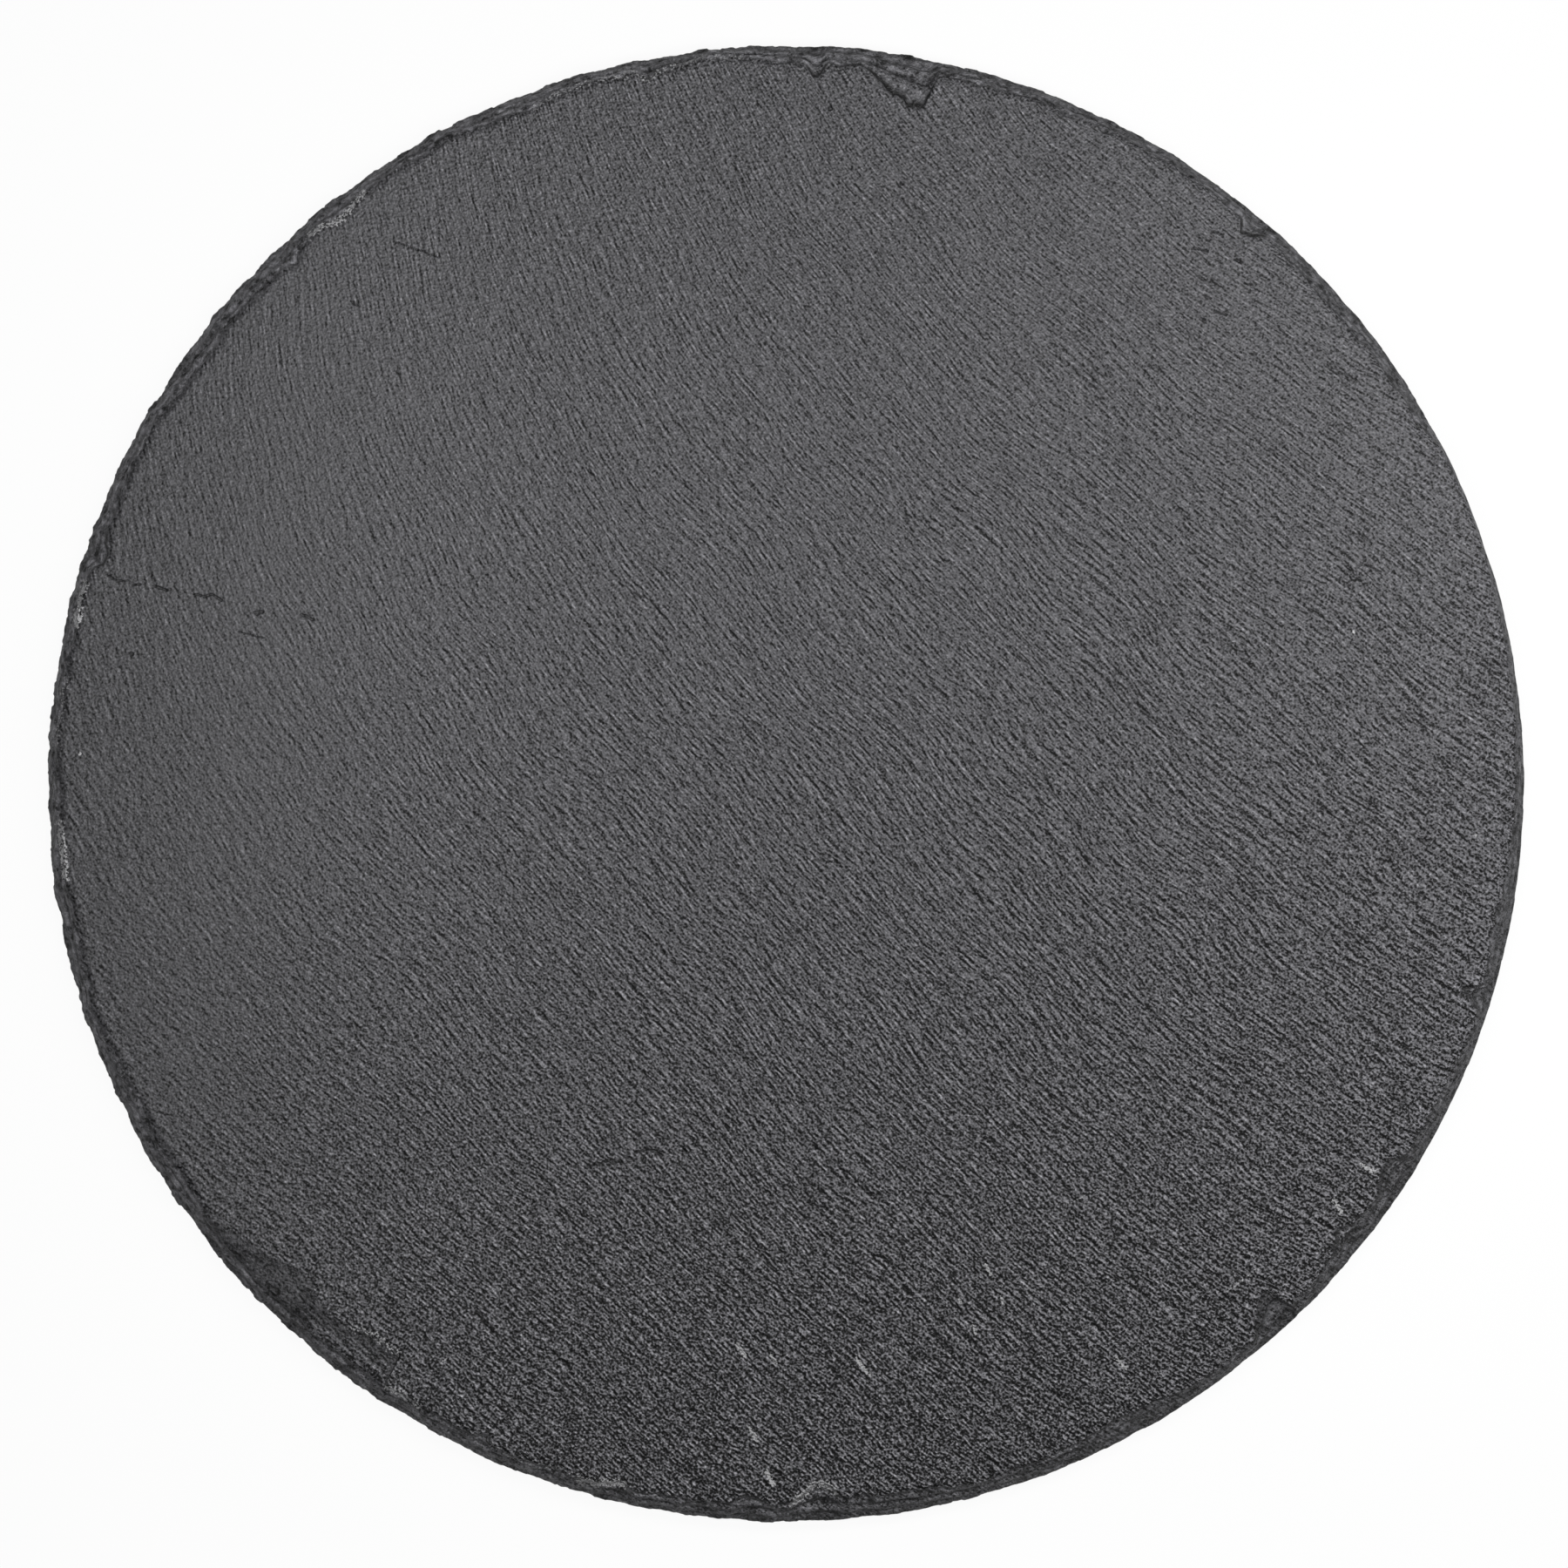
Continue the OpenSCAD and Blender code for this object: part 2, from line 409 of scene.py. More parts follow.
class Shader:
    """A material under construction."""

    def __init__(self, name: str) -> None:
        """Starts an empty node material.

        Args:
            name: The material's name.
        """
        self.material = bpy.data.materials.new(name)
        self.material.use_nodes = True
        self.tree = self.material.node_tree
        self.tree.nodes.clear()

    def node(
        self,
        kind: str,
        settings: dict[str, Any] | None = None,
        inputs: dict[str | int, Any] | None = None,
        output: str | int = 0,
    ) -> Wire:
        """Adds a node, sets it up, and then fills its sockets.

        Args:
            kind: The node's type.
            settings: Properties of the node, set first.
            inputs: Values or wires for the node's input sockets.
            output: The output socket to return.

        Returns:
            The chosen output.
        """
        made = self.tree.nodes.new(kind)
        for key, value in (settings or {}).items():
            setattr(made, key, value)
        for key, value in (inputs or {}).items():
            self._fill(made.inputs[key], value)
        return Wire(self, made.outputs[output])

    def _fill(self, socket: bpy.types.NodeSocket, value: Any) -> None:
        """Links a wire to an input socket, or sets its value.

        Args:
            socket: The input socket.
            value: The wire or the value.
        """
        if isinstance(value, Wire):
            self.tree.links.new(value.socket, socket)
        else:
            socket.default_value = value

    def maths(self, operation: str, *values: Any) -> Wire:
        """Adds a Math node, or a Vector Math node where a vector takes part.

        Args:
            operation: The node's operation.
            values: Its numbers, vectors or wires.

        Returns:
            The result.
        """
        is_vector = any(isinstance(v, Wire) and v.socket.type == "VECTOR" for v in values)
        if not is_vector:
            return self.node("ShaderNodeMath", {"operation": operation}, dict(enumerate(values)))
        if operation == "MULTIPLY" and isinstance(values[1], (int, float)):
            inputs = {0: values[0], "Scale": values[1]}
            return self.node("ShaderNodeVectorMath", {"operation": "SCALE"}, inputs)
        return self.node("ShaderNodeVectorMath", {"operation": operation}, dict(enumerate(values)))

    def place_mm(self) -> tuple[Wire, Wire, Wire, Wire]:
        """Reads the object coordinates in millimetres.

        Returns:
            The whole vector, and its x, y and z.
        """
        point = self.node("ShaderNodeTexCoord", output="Object") * (1 / MM)
        parts = self.node("ShaderNodeSeparateXYZ", None, {0: point})
        sockets = parts.socket.node.outputs
        return (point, *(Wire(self, sockets[i]) for i in range(3)))

    def vector(self, x: Any, y: Any, z: Any = 0.0) -> Wire:
        """Joins three numbers into a vector."""
        return self.node("ShaderNodeCombineXYZ", None, {0: x, 1: y, 2: z})

    def cloud(self, point: Wire, size: float, detail: float = 0.0, rough: float = 0.5) -> Wire:
        """Gives a soft random value about 0.5, in patches of a size with finer layers on them."""
        inputs = {"Vector": point, "Scale": 1 / size, "Detail": detail, "Roughness": rough}
        return self.node("ShaderNodeTexNoise", {"noise_dimensions": "3D"}, inputs)

    def mark(self, which: SurfaceMark) -> Wire:
        """Reads one of the mesh's own attributes."""
        return self.node("ShaderNodeAttribute", {"attribute_name": which.value}, None, "Fac")

    def mix(self, share: Any, first: Any, second: Any) -> Wire:
        """Mixes two colours.

        Args:
            share: 0 gives the first colour and 1 the second.
            first: A colour or a wire.
            second: A colour or a wire.

        Returns:
            The mixed colour.
        """
        made = self.tree.nodes.new("ShaderNodeMix")
        made.data_type = "RGBA"
        before, after = (s for s in made.inputs if s.type == "RGBA")
        for socket, value in ((made.inputs[0], share), (before, first), (after, second)):
            self._fill(socket, value)
        return Wire(self, next(s for s in made.outputs if s.type == "RGBA"))

    def tinted(self, colour: tuple[float, float, float], level: Wire) -> Wire:
        """Scales a colour by a number."""
        inputs = {0: self.vector(*colour), "Scale": level}
        return self.node("ShaderNodeVectorMath", {"operation": "SCALE"}, inputs)

    def bump(self, height_mm: Wire) -> Wire:
        """Turns a height in millimetres into a normal."""
        inputs = {"Strength": 1.0, "Distance": MM, "Height": height_mm}
        return self.node("ShaderNodeBump", None, inputs)

    def close(self, colour: Wire, rough: Any, height_mm: Wire) -> bpy.types.Material:
        """Adds the surface shader for a colour, a roughness and a height, and gives the material."""
        inputs = {"Base Color": colour, "Roughness": rough, "Normal": self.bump(height_mm)}
        return self.show(self.node("ShaderNodeBsdfPrincipled", None, inputs))

    def show(self, surface: Wire) -> bpy.types.Material:
        """Links a surface shader to a new output node.

        Args:
            surface: The shader's output.

        Returns:
            The finished material.
        """
        output = self.tree.nodes.new("ShaderNodeOutputMaterial")
        self.tree.links.new(surface.socket, output.inputs["Surface"])
        return self.material


@dataclass(frozen=True)
class RivenGrain:
    """Direction and size of the ripple on a riven face.

    Attributes:
        angle: Direction of the ripple's crests at the centre, in degrees.
        turn: How the crests turn along themselves, in radians per mm.
        turn_growth: How that turn grows, in radians per square mm.
        lean: How the crests turn across themselves, in radians per mm.
        lean_growth: How that turn grows, in radians per square mm.
        swing: How the turn along them grows to both ends, in radians per cubic mm.
    """

    angle: float
    turn: float
    turn_growth: float
    lean: float
    lean_growth: float
    swing: float

    def across_and_along(self, x: Any, y: Any) -> tuple[Any, Any]:
        """Gives the coordinates across and along the curved crests.

        Args:
            x: Place along X in mm, a number or a wire.
            y: Place along Y in mm, a number or a wire.

        Returns:
            Distance across the crests and distance along them, in mm.
        """
        cos_a = math.cos(math.radians(self.angle))
        sin_a = math.sin(math.radians(self.angle))
        n = x * sin_a - y * cos_a
        s = x * cos_a + y * sin_a
        bend = s * s * (s * s * (self.swing / 4) + s * (self.turn_growth / 3) + self.turn / 2)
        lean = (n * self.lean + n * n * self.lean_growth) * s
        return n - bend + lean, s


FLAKE_GRAIN = RivenGrain(134.8, 4e-4, 1e-5, -2e-4, 7e-6, 1.15e-7)
SHEET_GRAIN = RivenGrain(131.0, 3e-4, 1.3e-5, 5e-4, 9e-6, 1.7e-7)


@dataclass(frozen=True)
class Spread:
    """A value at the board's centre, and its growth with X and Y in mm and with their products."""

    centre: float
    by_x: float
    by_y: float = 0.0
    by_xx: float = 0.0
    by_yy: float = 0.0
    by_xy: float = 0.0

    def at(self, x: Wire, y: Wire) -> Wire:
        """Works the value out at a place in mm."""
        bend = x * (x * self.by_xx + y * self.by_xy) + y * y * self.by_yy
        return x * self.by_x + y * self.by_y + bend + self.centre


@dataclass(frozen=True)
class Ground:
    """Where the stone's patterns are read: a place in mm, and how far the grain drifts across there."""

    sh: Shader
    point: Wire
    x: Wire
    y: Wire
    drift: Wire


@dataclass(frozen=True)
class StoneFinish:
    """Riven grey slate with a knapped rim.

    The colour of the ripple follows its slope across the grain: painted shade on one side of each
    fold and painted light on the other. The broken stone of the rim shows its laminae edge on, and
    has painted light on it towards the left and the back and painted shade at the far right.

    Attributes:
        flake_size: Width and length of a short fold in mm, as sheet_size is of a long one.
        flake_mm: Height of the short folds. What else ends in mm is a height or a depth too.
        limb_shade: How strongly the slope of the folds across the grain is painted as shade and light.
        gap_shade: Share of its colour that painted shade takes away in a crease or a crack.
        strength: How strong the riven texture is, and least_strength where it is finest.
        speckle: How far single grains differ in tone.
        lopsided: How far the painted shade of the folds outweighs their painted light.
        broken_light_and_shade: Painted light on the broken stone towards the left and the back, turning to
            painted shade at the far right.
        shade_left: Where painted shade starts towards the left, in mm, and its growth with each mm.
        shade_front: The same towards the front.
        knapped_loss: Share of the riven texture that is gone where the stone is broken.
    """

    name: str = "riven_slate"
    colour: tuple[float, float, float] = (0.0795, 0.0788, 0.0845)
    bruise_colour: tuple[float, float, float, float] = (0.46, 0.46, 0.47, 1.0)
    roughness: float = 0.55
    flake_size: tuple[float, float] = (0.52, 1.9)
    sheet_size: tuple[float, float] = (0.8, 8.0)
    flake_mm: float = 0.7
    sheet_mm: float = 0.54
    ledge_mm: float = 0.08
    grit_mm: float = 0.6
    crease_mm: float = 0.22
    crack_mm: float = 0.2
    broken_mm: float = 0.22
    limb_shade: float = 2.4
    ledge_shade: float = 0.055
    pale_speck_tone: float = 0.3
    patch_tone: float = 0.06
    gap_shade: float = 0.7
    darkest: float = 0.06
    strength: Spread = Spread(1.45, 0.0053, -0.0057, -3.3e-5, 1.2e-5, -2.8e-5)
    least_strength: float = 0.47
    speckle: Spread = Spread(3.0, -0.007, -0.01, 1.4e-4, 1.4e-4)
    lopsided: Spread = Spread(0.2, 0.0015, -0.0015)
    creased: Spread = Spread(0.3, 0.003)
    broken_light_and_shade: Spread = Spread(0.4, -0.0046, 0.0009)
    shade_left: tuple[float, float] = (75.0, 0.003)
    shade_front: tuple[float, float] = (95.0, 0.0018)
    knapped_loss: float = 0.75

    @staticmethod
    def _steps(level: Wire, count: float, riser: float) -> Wire:
        """Cuts a smooth value into flat treads with risers between them.

        Args:
            level: The smooth value.
            count: Number of treads for each unit of the value.
            riser: Share of a tread that its riser takes.

        Returns:
            The stepped value, counted in treads.
        """
        treads = level * count
        part = treads.fraction()
        return treads - part + part.above(1 - riser, 1)

    @staticmethod
    def _folds(at: Ground, grain: RivenGrain, size: tuple[float, float]) -> tuple[Wire, Wire]:
        """Gives the height of the folds along a grain and their slope across it.

        Args:
            at: Where they are read.
            grain: The grain that the folds follow.
            size: Width and length of a fold in mm.

        Returns:
            A height about 0 and a slope about 0.
        """
        sh = at.sh
        across, along_it = grain.across_and_along(at.x, at.y)
        across, along_it = (across + at.drift) / size[0], along_it / size[1]
        depth = grain.angle
        upper = sh.cloud(sh.vector(across + 0.25, along_it, depth), 1.0, 1.0, 0.55)
        lower = sh.cloud(sh.vector(across - 0.25, along_it, depth), 1.0, 1.0, 0.55)
        return (upper + lower) * 0.5 - 0.5, upper - lower

    def _ledges(self, at: Ground) -> tuple[Wire, Wire]:
        """Gives the height of the broken laminae and the drop at their edges across the grain.

        Args:
            at: Where they are read.

        Returns:
            A height and a drop, both counted in laminae.
        """
        sh = at.sh
        across, along_it = SHEET_GRAIN.across_and_along(at.x, at.y)

        def level(off: float) -> Wire:
            """Reads the stepped level a little way off across the grain."""
            lie = sh.vector((across + at.drift + off) / 5.0, along_it / 30.0, 3.0)
            return self._steps(sh.cloud(lie, 1.0, 3.0, 0.58), 6.0, 0.14)

        upper, lower = level(0.16), level(-0.16)
        return (upper + lower) * 0.5, upper - lower

    def _creases(self, at: Ground) -> Wire:
        """Draws thin creases along the sheets, in clusters and mostly on the right, which the finish darkens
        with painted shade.

        Args:
            at: Where they are read.

        Returns:
            How open a crease is, from 0 to 1.
        """
        sh = at.sh
        across, along_it = SHEET_GRAIN.across_and_along(at.x, at.y)
        kink = (sh.cloud(at.point, 1.6) - 0.5) * 0.9
        lie = sh.vector((across + at.drift + kink) / 2.4, along_it / 9.0, 9.0)
        from_middle = (sh.cloud(lie, 1.0, 2.0, 0.55) - 0.5).size()
        cluster = sh.cloud(sh.vector(across / 5.0, along_it / 9.0, 5.0), 1.0).above(0.56, 0.66)
        return (1 - from_middle.above(0.008, 0.03)) * (cluster * self.creased.at(at.x, at.y).most(0.0))

    def _shade_from_slope(self, x: Wire, y: Wire, slope: Wire) -> Wire:
        """Turns the slope at a place into painted shade and light, with a long tail of darks and a short one
        of pales.
        """
        tilt = self.lopsided.at(x, y)
        return slope * (slope.size() * 0.6 - slope * tilt + 0.56) + tilt * 0.18

    def _painted_shade_left_front(self, x: Wire, y: Wire) -> Wire:
        """Tells how much painted shade darkens the stone at a place towards the left and the front."""
        (left, left_growth), (front, front_growth) = self.shade_left, self.shade_front
        return (x * -1 - left).most(0.0) * left_growth + (y * -1 - front).most(0.0) * front_growth

    def make(self) -> bpy.types.Material:
        """Builds the stone's material.

        Returns:
            The material.
        """
        sh = Shader(self.name)
        point, x, y, z = sh.place_mm()
        knapped = sh.mark(SurfaceMark.KNAPPED)
        bruised = sh.mark(SurfaceMark.BRUISED)
        shaded = sh.mark(SurfaceMark.SHADED)
        cracked = sh.mark(SurfaceMark.CRACKED).above(0.3, 0.7)

        at = Ground(sh, point, x, y, (sh.cloud(point, 24.0) - 0.5) * 4.0)
        flake, flake_slope = self._folds(at, FLAKE_GRAIN, self.flake_size)
        sheet, sheet_slope = self._folds(at, SHEET_GRAIN, self.sheet_size)
        ledge, ledge_slope = self._ledges(at)
        crease = self._creases(at)
        grit = sh.cloud(point, 0.5, 1.0, 0.4) - 0.5
        # Pale specks, scattered at random
        pale_speck = sh.cloud(point, 0.55).above(0.64, 0.78)
        patches = sh.cloud(point, 14.0, 2.0) - 0.5
        laminae = sh.cloud(sh.vector(x / 3.5, y / 3.5, z / 0.9), 1.0, 2.0, 0.6) - 0.5
        crumble = sh.cloud(point, 1.3, 3.0, 0.7) - 0.5
        broken = (laminae * 3.4 + crumble * 5.0) * knapped
        strength = self.strength.at(x, y).most(self.least_strength)
        whole = strength * (1 - knapped * self.knapped_loss)

        riven = flake * self.flake_mm + sheet * self.sheet_mm + ledge * strength * self.ledge_mm
        riven = riven + grit * self.grit_mm - crease * self.crease_mm
        height = riven * whole + broken * self.broken_mm - cracked * self.crack_mm

        # Painted shade and light from the slope of the folds across the grain and the drop at the ledges
        slope = (flake_slope + sheet_slope) * -self.limb_shade - ledge_slope * strength * self.ledge_shade
        slope = slope + grit * self.speckle.at(x, y) + pale_speck * self.pale_speck_tone
        tone = 1 + patches * self.patch_tone + self._shade_from_slope(x, y, slope) * whole + broken
        # Painted shade in the creases
        tone = (tone - crease * (1 - knapped) * self.gap_shade).most(self.darkest)
        # Painted light and shade on the broken stone, and the rim's painted shade and light
        tone = tone * (1 + knapped * self.broken_light_and_shade.at(x, y)) * (1 - shaded)
        # Painted shade in the cracks and pits, and towards the left and the front
        tone = tone * (1 - cracked * self.gap_shade) * (1 - self._painted_shade_left_front(x, y))
        scar = (bruised + (sh.cloud(point, 0.5, 2.0, 0.6) - 0.5) * 1.7).above(0.62, 0.8)
        colour = sh.mix(scar, sh.tinted(self.colour, tone), self.bruise_colour)
        return sh.close(colour, self.roughness + grit * 0.2, height)


@dataclass(frozen=True)
class RubberFinish:
    """Black moulded rubber with a fine matt skin."""

    name: str = "foot_rubber"
    colour: tuple[float, float, float, float] = (0.021, 0.021, 0.022, 1.0)
    dust_colour: tuple[float, float, float, float] = (0.085, 0.083, 0.08, 1.0)

    def make(self) -> bpy.types.Material:
        """Builds the rubber's material.

        Returns:
            The material.
        """
        sh = Shader(self.name)
        point, *_ = sh.place_mm()
        skin = sh.cloud(point, 0.16, 2.0) - 0.5
        dust = sh.cloud(point, 2.5, 3.0, 0.6).above(0.52, 0.75)
        colour = sh.mix(dust * 0.25, self.colour, self.dust_colour)
        return sh.close(colour, 0.66 + skin * 0.2, skin * 0.03)


@dataclass(frozen=True)
class AdhesiveFinish:
    """Pale acrylic foam tape."""

    name: str = "adhesive"
    colour: tuple[float, float, float] = (0.58, 0.56, 0.5)

    def make(self) -> bpy.types.Material:
        """Builds the tape's material.

        Returns:
            The material.
        """
        sh = Shader(self.name)
        point, *_ = sh.place_mm()
        cells = sh.cloud(point, 0.2, 2.0) - 0.5
        colour = sh.tinted(self.colour, 1 + cells * 0.25)
        return sh.close(colour, 0.5, cells * 0.03)


@dataclass
class SlateSlab:
    """The stone: one slab with a riven top and underside and a knapped rim.

    Attributes:
        radius: Mean radius of the outline.
        lip_height: Height of the blunt lip at the foot of the bevel.
        lower_break: Run of the break on the lower edge.
        bevel_run: Usual distance from the outline in to the crest line.
        chip_reach: How far past the bevel the largest chip reaches.
        outline_wander: Most that the outline wanders from a circle.
        terrace_wander: Most that the crest line and terrace edges wander.
        chip_blunt: How flat a chip's inner end is.
        tooth: Size of the teeth that the blows left along the outline.
        splinter: How far the crest line strays where splinters came off.
        notch: Depth of the sharp notches in the crest line.
        least_run: Least distance between two rings of the rim.
        ring_wear: How far the height of a ring wanders.
        top_steps: Number of mesh steps across the top face.
        rim_cuts: Number of rim points between two points of the top face.
        circle_share: Share of the radius inside which the top's mesh keeps to true circles.
        relief: Depth of the riven relief in the mesh.
        crack_depth: Depth of a crack in the mesh.
        underside_runs: Runs of the rings between the lower edge and the underside's sheet.
    """

    radius: float = 150 * MM
    lip_height: float = 0.6 * MM
    lower_break: float = 0.35 * MM
    bevel_run: float = 2.3 * MM
    chip_reach: float = 7.5 * MM
    outline_wander: float = 0.4 * MM
    terrace_wander: float = 0.3 * MM
    chip_blunt: float = 1.3
    tooth: float = 0.22 * MM
    splinter: float = 0.45 * MM
    notch: float = 0.9 * MM
    least_run: float = 0.03 * MM
    ring_wear: float = 0.22 * MM
    top_steps: int = 176
    rim_cuts: int = 2
    circle_share: float = 0.8
    relief: float = 0.13 * MM
    crack_depth: float = 0.3 * MM
    underside_runs: tuple[float, ...] = (0.8 * MM, 1.6 * MM, 2.5 * MM)
    finish: StoneFinish = field(default_factory=StoneFinish)

    # Where the riven relief of the two faces is read
    TOP_SEED, UNDERSIDE_SEED = 0.3, 60.3
    # Reach and cuts of the finer mesh round a mark, and how far from the mark its scar can lie
    MARK_REACH, MARK_CUTS, SCAR_REACH = 1.35 * MM, 5, 1.0 * MM
    # How far the sides of a mark stray, in mm, how long these jags are, and the seed that keeps
    # them the same in every run
    JAG_MM, JAG_LENGTH, JAG_SEED = 0.18, 0.9 * MM, 1
    # Pale crumbs: strength, distance from the crest line of the strongest, and where they end
    # inside it, outside it, and along it in degrees
    CRUMB_SHARE, CRUMB_CORE = 0.76, 0.4 * MM
    CRUMB_IN, CRUMB_OUT, CRUMB_FADE = 1.2 * MM, 2.4 * MM, 0.4

    def __post_init__(self) -> None:
        """Reads the slab's two faces from the frame and works out the rim."""
        low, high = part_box("slate")
        self.bottom: float = low[2]
        self.top: float = high[2]
        self.rim_points: int = 4 * self.top_steps * (self.rim_cuts + 1)
        self.stages = self._list_stages()
        step = 360 / self.rim_points
        self.profiles = [self._profile(i * step) for i in range(self.rim_points)]

    def _list_stages(self) -> list[tuple[Terrace, float]]:
        """Lists the rings of the rim.

        Returns:
            The rings from the crest line down, each with its place among the terraces.
        """
        made = []
        for k, (upper, lower) in enumerate(zip(TERRACES, TERRACES[1:])):
            made.append((upper, float(k)))
            made.append((upper.towards(lower, 0.5), k + 0.5))
        made.append((TERRACES[-1], float(len(TERRACES) - 1)))
        return made

    @staticmethod
    def roughness_at(angle: float) -> float:
        """Tells how rough the outline is: most on the left, least on the right."""
        return 0.62 + 0.38 * math.cos(math.radians(angle - 170))

    def outline(self, angle: float) -> float:
        """Gives the radius of the outline's long waves at an angle in degrees."""
        terms = ((0.45, 31, 40), (0.3, 67, 110), (0.25, 113, 20))
        return self.radius + self.outline_wander * self.roughness_at(angle) * wave(angle, terms)

    def _chips_at(self, angle: float) -> list[tuple[Chip, float]]:
        """Lists the chips that reach an angle, each with how much of it is present there."""
        chips = (c for c in CHIPS if -c.clockwise < angle - c.angle < c.anticlockwise)
        return [(c, c.fade(angle, self.chip_blunt)) for c in chips]

    def chip_in(self, angle: float, part: Callable[[Chip], float]) -> float:
        """Sums how far the chips move an edge in, which follows a part of each chip's reach."""
        return self.chip_reach * sum(c.reach_share * part(c) * fade for c, fade in self._chips_at(angle))

    def wall_run(self, angle: float) -> float:
        """Gives the run of the walls round the chips at an angle."""
        walls = (c.reach_share * c.wall_share * min(1.0, 3 * fade) for c, fade in self._chips_at(angle))
        return self.chip_reach * sum(walls)

    def scooped(self, angle: float) -> float:
        """Tells how far the wall at an angle is a broad scoop and not a step, from 0 to 1."""
        return smooth_share(self.wall_run(angle), 1.5 * MM, 3.5 * MM)

    def terrace_radius(self, angle: float, terrace: Terrace, index: float) -> float:
        """Gives the radius of a terrace edge at an angle.

        Args:
            angle: Angle in degrees.
            terrace: The terrace edge.
            index: Its place among the terraces, which sets its waves.

        Returns:
            The radius in metres.
        """
        width_share = along(BEVEL_SHARES, angle)
        k = int(index)
        terms = (
            (0.4, 19 + 4 * k, 70 * k),
            (0.35, 47 + 6 * k, 130 * k),
            (0.25, 83 + 2 * k, 200 * k),
        )
        wander = self.terrace_wander * min(1.0, width_share) * terrace.run_share * wave(angle, terms)
        chips = self.chip_in(angle, lambda c: terrace.chip_share + terrace.step_share * c.step_share)
        scarp = min(1.0, index) ** (1 + 2 * self.scooped(angle))
        chips -= terrace.chip_share * scarp * self.wall_run(angle)
        return self.outline(angle) - self.bevel_run * width_share * terrace.run_share - chips + wander

    def stray(self, angle: float, index: float) -> float:
        """Gives how far the broken edge strays outwards from a terrace's own line.

        Args:
            angle: Angle in degrees.
            index: The ring's place among the terraces. Two rings of a riser stray alike.

        Returns:
            The distance in metres.
        """
        riser = int(index) // 2

        def lie(size_mm: float, seed: float) -> float:
            """Reads a soft random value, in patches of a size along the rim."""
            return noise.noise(polar(angle, self.radius / (size_mm * MM), seed + 7.3 * riser))

        if riser == LAST_RISER:
            step = noise.cell(polar(angle, self.radius / (2.6 * MM), 1.5)) - 0.5
            return self.tooth * self.roughness_at(angle) * (lie(0.9, 0.4) + lie(2.6, 3.1) + step)
        stray = self.splinter * (0.6 * lie(3.1, 0.5) + 0.5 * lie(1.2, 2.5))
        if riser == 0:
            sharp = max(0.0, 1 - abs(lie(2.6, 4.5)) / 0.22)
            stray -= self.notch * sharp * smooth_share(lie(11, 6.5), -0.25, 0.3)
        return stray

    def _profile(self, angle: float) -> list[tuple[float, float]]:
        """Works out the rings at an angle.

        Args:
            angle: Angle in degrees.

        Returns:
            Radius and height of each ring, from the crest line down.
        """
        drop = self.top - self.bottom - self.lip_height
        narrow = min(1.0, 0.25 + along(BEVEL_SHARES, angle))
        radii = [
            self.terrace_radius(angle, terrace, index) + self.stray(angle, index) * narrow
            for terrace, index in self.stages
        ]
        for i in reversed(range(len(radii) - 1)):
            radii[i] = min(radii[i], radii[i + 1] - self.least_run)
        heights = []
        for i, (terrace, index) in enumerate(self.stages):
            rough = noise.noise(polar(angle, self.radius / (2.2 * MM), 20.3 + 1.7 * index))
            wear = self.ring_wear * rough if 0 < index < len(TERRACES) - 1 else 0.0
            heights.append(self.top - drop * terrace.depth_share + wear)
            if i > 0:
                heights[i] = min(heights[i], heights[i - 1] - self.least_run)
        return list(zip(radii, heights))

    def rim_index(self, point: Vector) -> int:
        """Finds the number of the rim point that lies at a point's angle."""
        return round(angle_of(point) * self.rim_points / 360) % self.rim_points

    def relief_at(self, x: float, y: float, seed: float) -> float:
        """Gives the depth of the riven relief under a face's plane.

        Args:
            x: Place along X.
            y: Place along Y.
            seed: Where the relief is read, which tells the two faces apart.

        Returns:
            A depth from 0 to the full relief.
        """
        across, along_it = SHEET_GRAIN.across_and_along(x / MM, y / MM)
        streak = noise.fractal(Vector((across / 4.2, along_it / 16.0, seed)), 0.9, 2.0, 3)
        swell = noise.noise(Vector((x / MM / 38, y / MM / 38, seed + 5)))
        depth = 0.5 + 0.3 * streak + 0.25 * swell
        return self.relief * min(1.0, max(0.0, depth))

    @staticmethod
    def _sheet(bm: bmesh.types.BMesh, steps: int) -> list[tuple[bmesh.types.BMVert, float, float]]:
        """Adds a square sheet and finds each point's place once it is drawn out to a disc.

        Args:
            bm: The mesh to add to.
            steps: Number of mesh steps across.

        Returns:
            The new points, each with its share of the disc's radius and its angle in degrees.
        """
        made = bmesh.ops.create_grid(bm, x_segments=steps, y_segments=steps, size=1.0)["verts"]
        placed = []
        for v in made:
            a, b = v.co.x, v.co.y
            share = max(abs(a), abs(b))
            if share == 0:
                placed.append((v, 0.0, 0.0))
            elif abs(a) > abs(b):
                placed.append((v, share, math.degrees(math.pi / 4 * b / a) + (180 if a < 0 else 0)))
            else:
                placed.append((v, share, 90 - math.degrees(math.pi / 4 * a / b) + (180 if b < 0 else 0)))
            for face in v.link_faces:
                face.smooth = True
        return placed

    def _shape_top(self, bm: bmesh.types.BMesh) -> None:
        """Lays the top face out as a round sheet that ends on the crest line.

        Args:
            bm: The slab's mesh.
        """
        inner = self.radius - self.bevel_run
        for v, share, angle in self._sheet(bm, self.top_steps):
            pull = smooth_share(share, self.circle_share, 1.0)
            r = share * inner
            if pull > 0:
                r += pull * (self.terrace_radius(angle % 360, *self.stages[0]) - inner)
            v.co = polar(angle, r, self.top)
            v.co.z -= self.relief_at(v.co.x, v.co.y, self.TOP_SEED)

